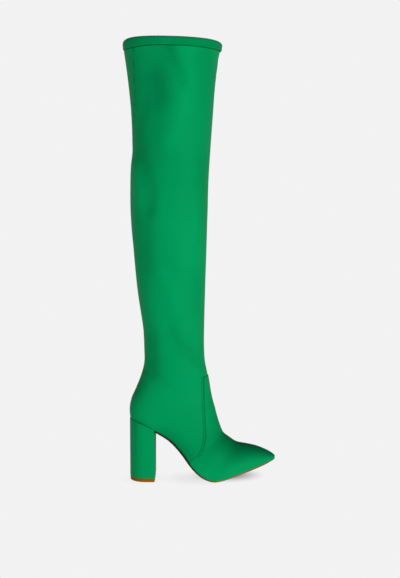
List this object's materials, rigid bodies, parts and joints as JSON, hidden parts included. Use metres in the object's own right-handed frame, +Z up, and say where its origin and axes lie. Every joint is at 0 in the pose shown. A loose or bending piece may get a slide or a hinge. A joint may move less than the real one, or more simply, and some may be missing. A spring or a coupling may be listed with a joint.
{
  "type": "over-the-knee heeled boot",
  "caption": "Right over-the-knee pull-on boot in stretch satin, with a pointed toe, lapped vamp, hemmed collar and a tall covered block heel.",
  "frame": {"origin": "middle of the footprint, on the floor the boot stands on", "axes": "+Z up along the shaft, +X from the heel to the toe, +Y to the medial side"},
  "size_m": [0.2276, 0.108, 0.656],
  "materials": {
    "satin": "smooth stretch satin",
    "sole": "stained edge, smooth",
    "tip": "matte",
    "sock": "matte lining"
  },
  "bodies": {
    "root": {"upper": "satin", "vamp": "satin", "collar_hem": "satin", "heel": "satin", "outsole": "sole", "heel_tip": "tip", "insole": "sock"}
  },
  "joints": []
}
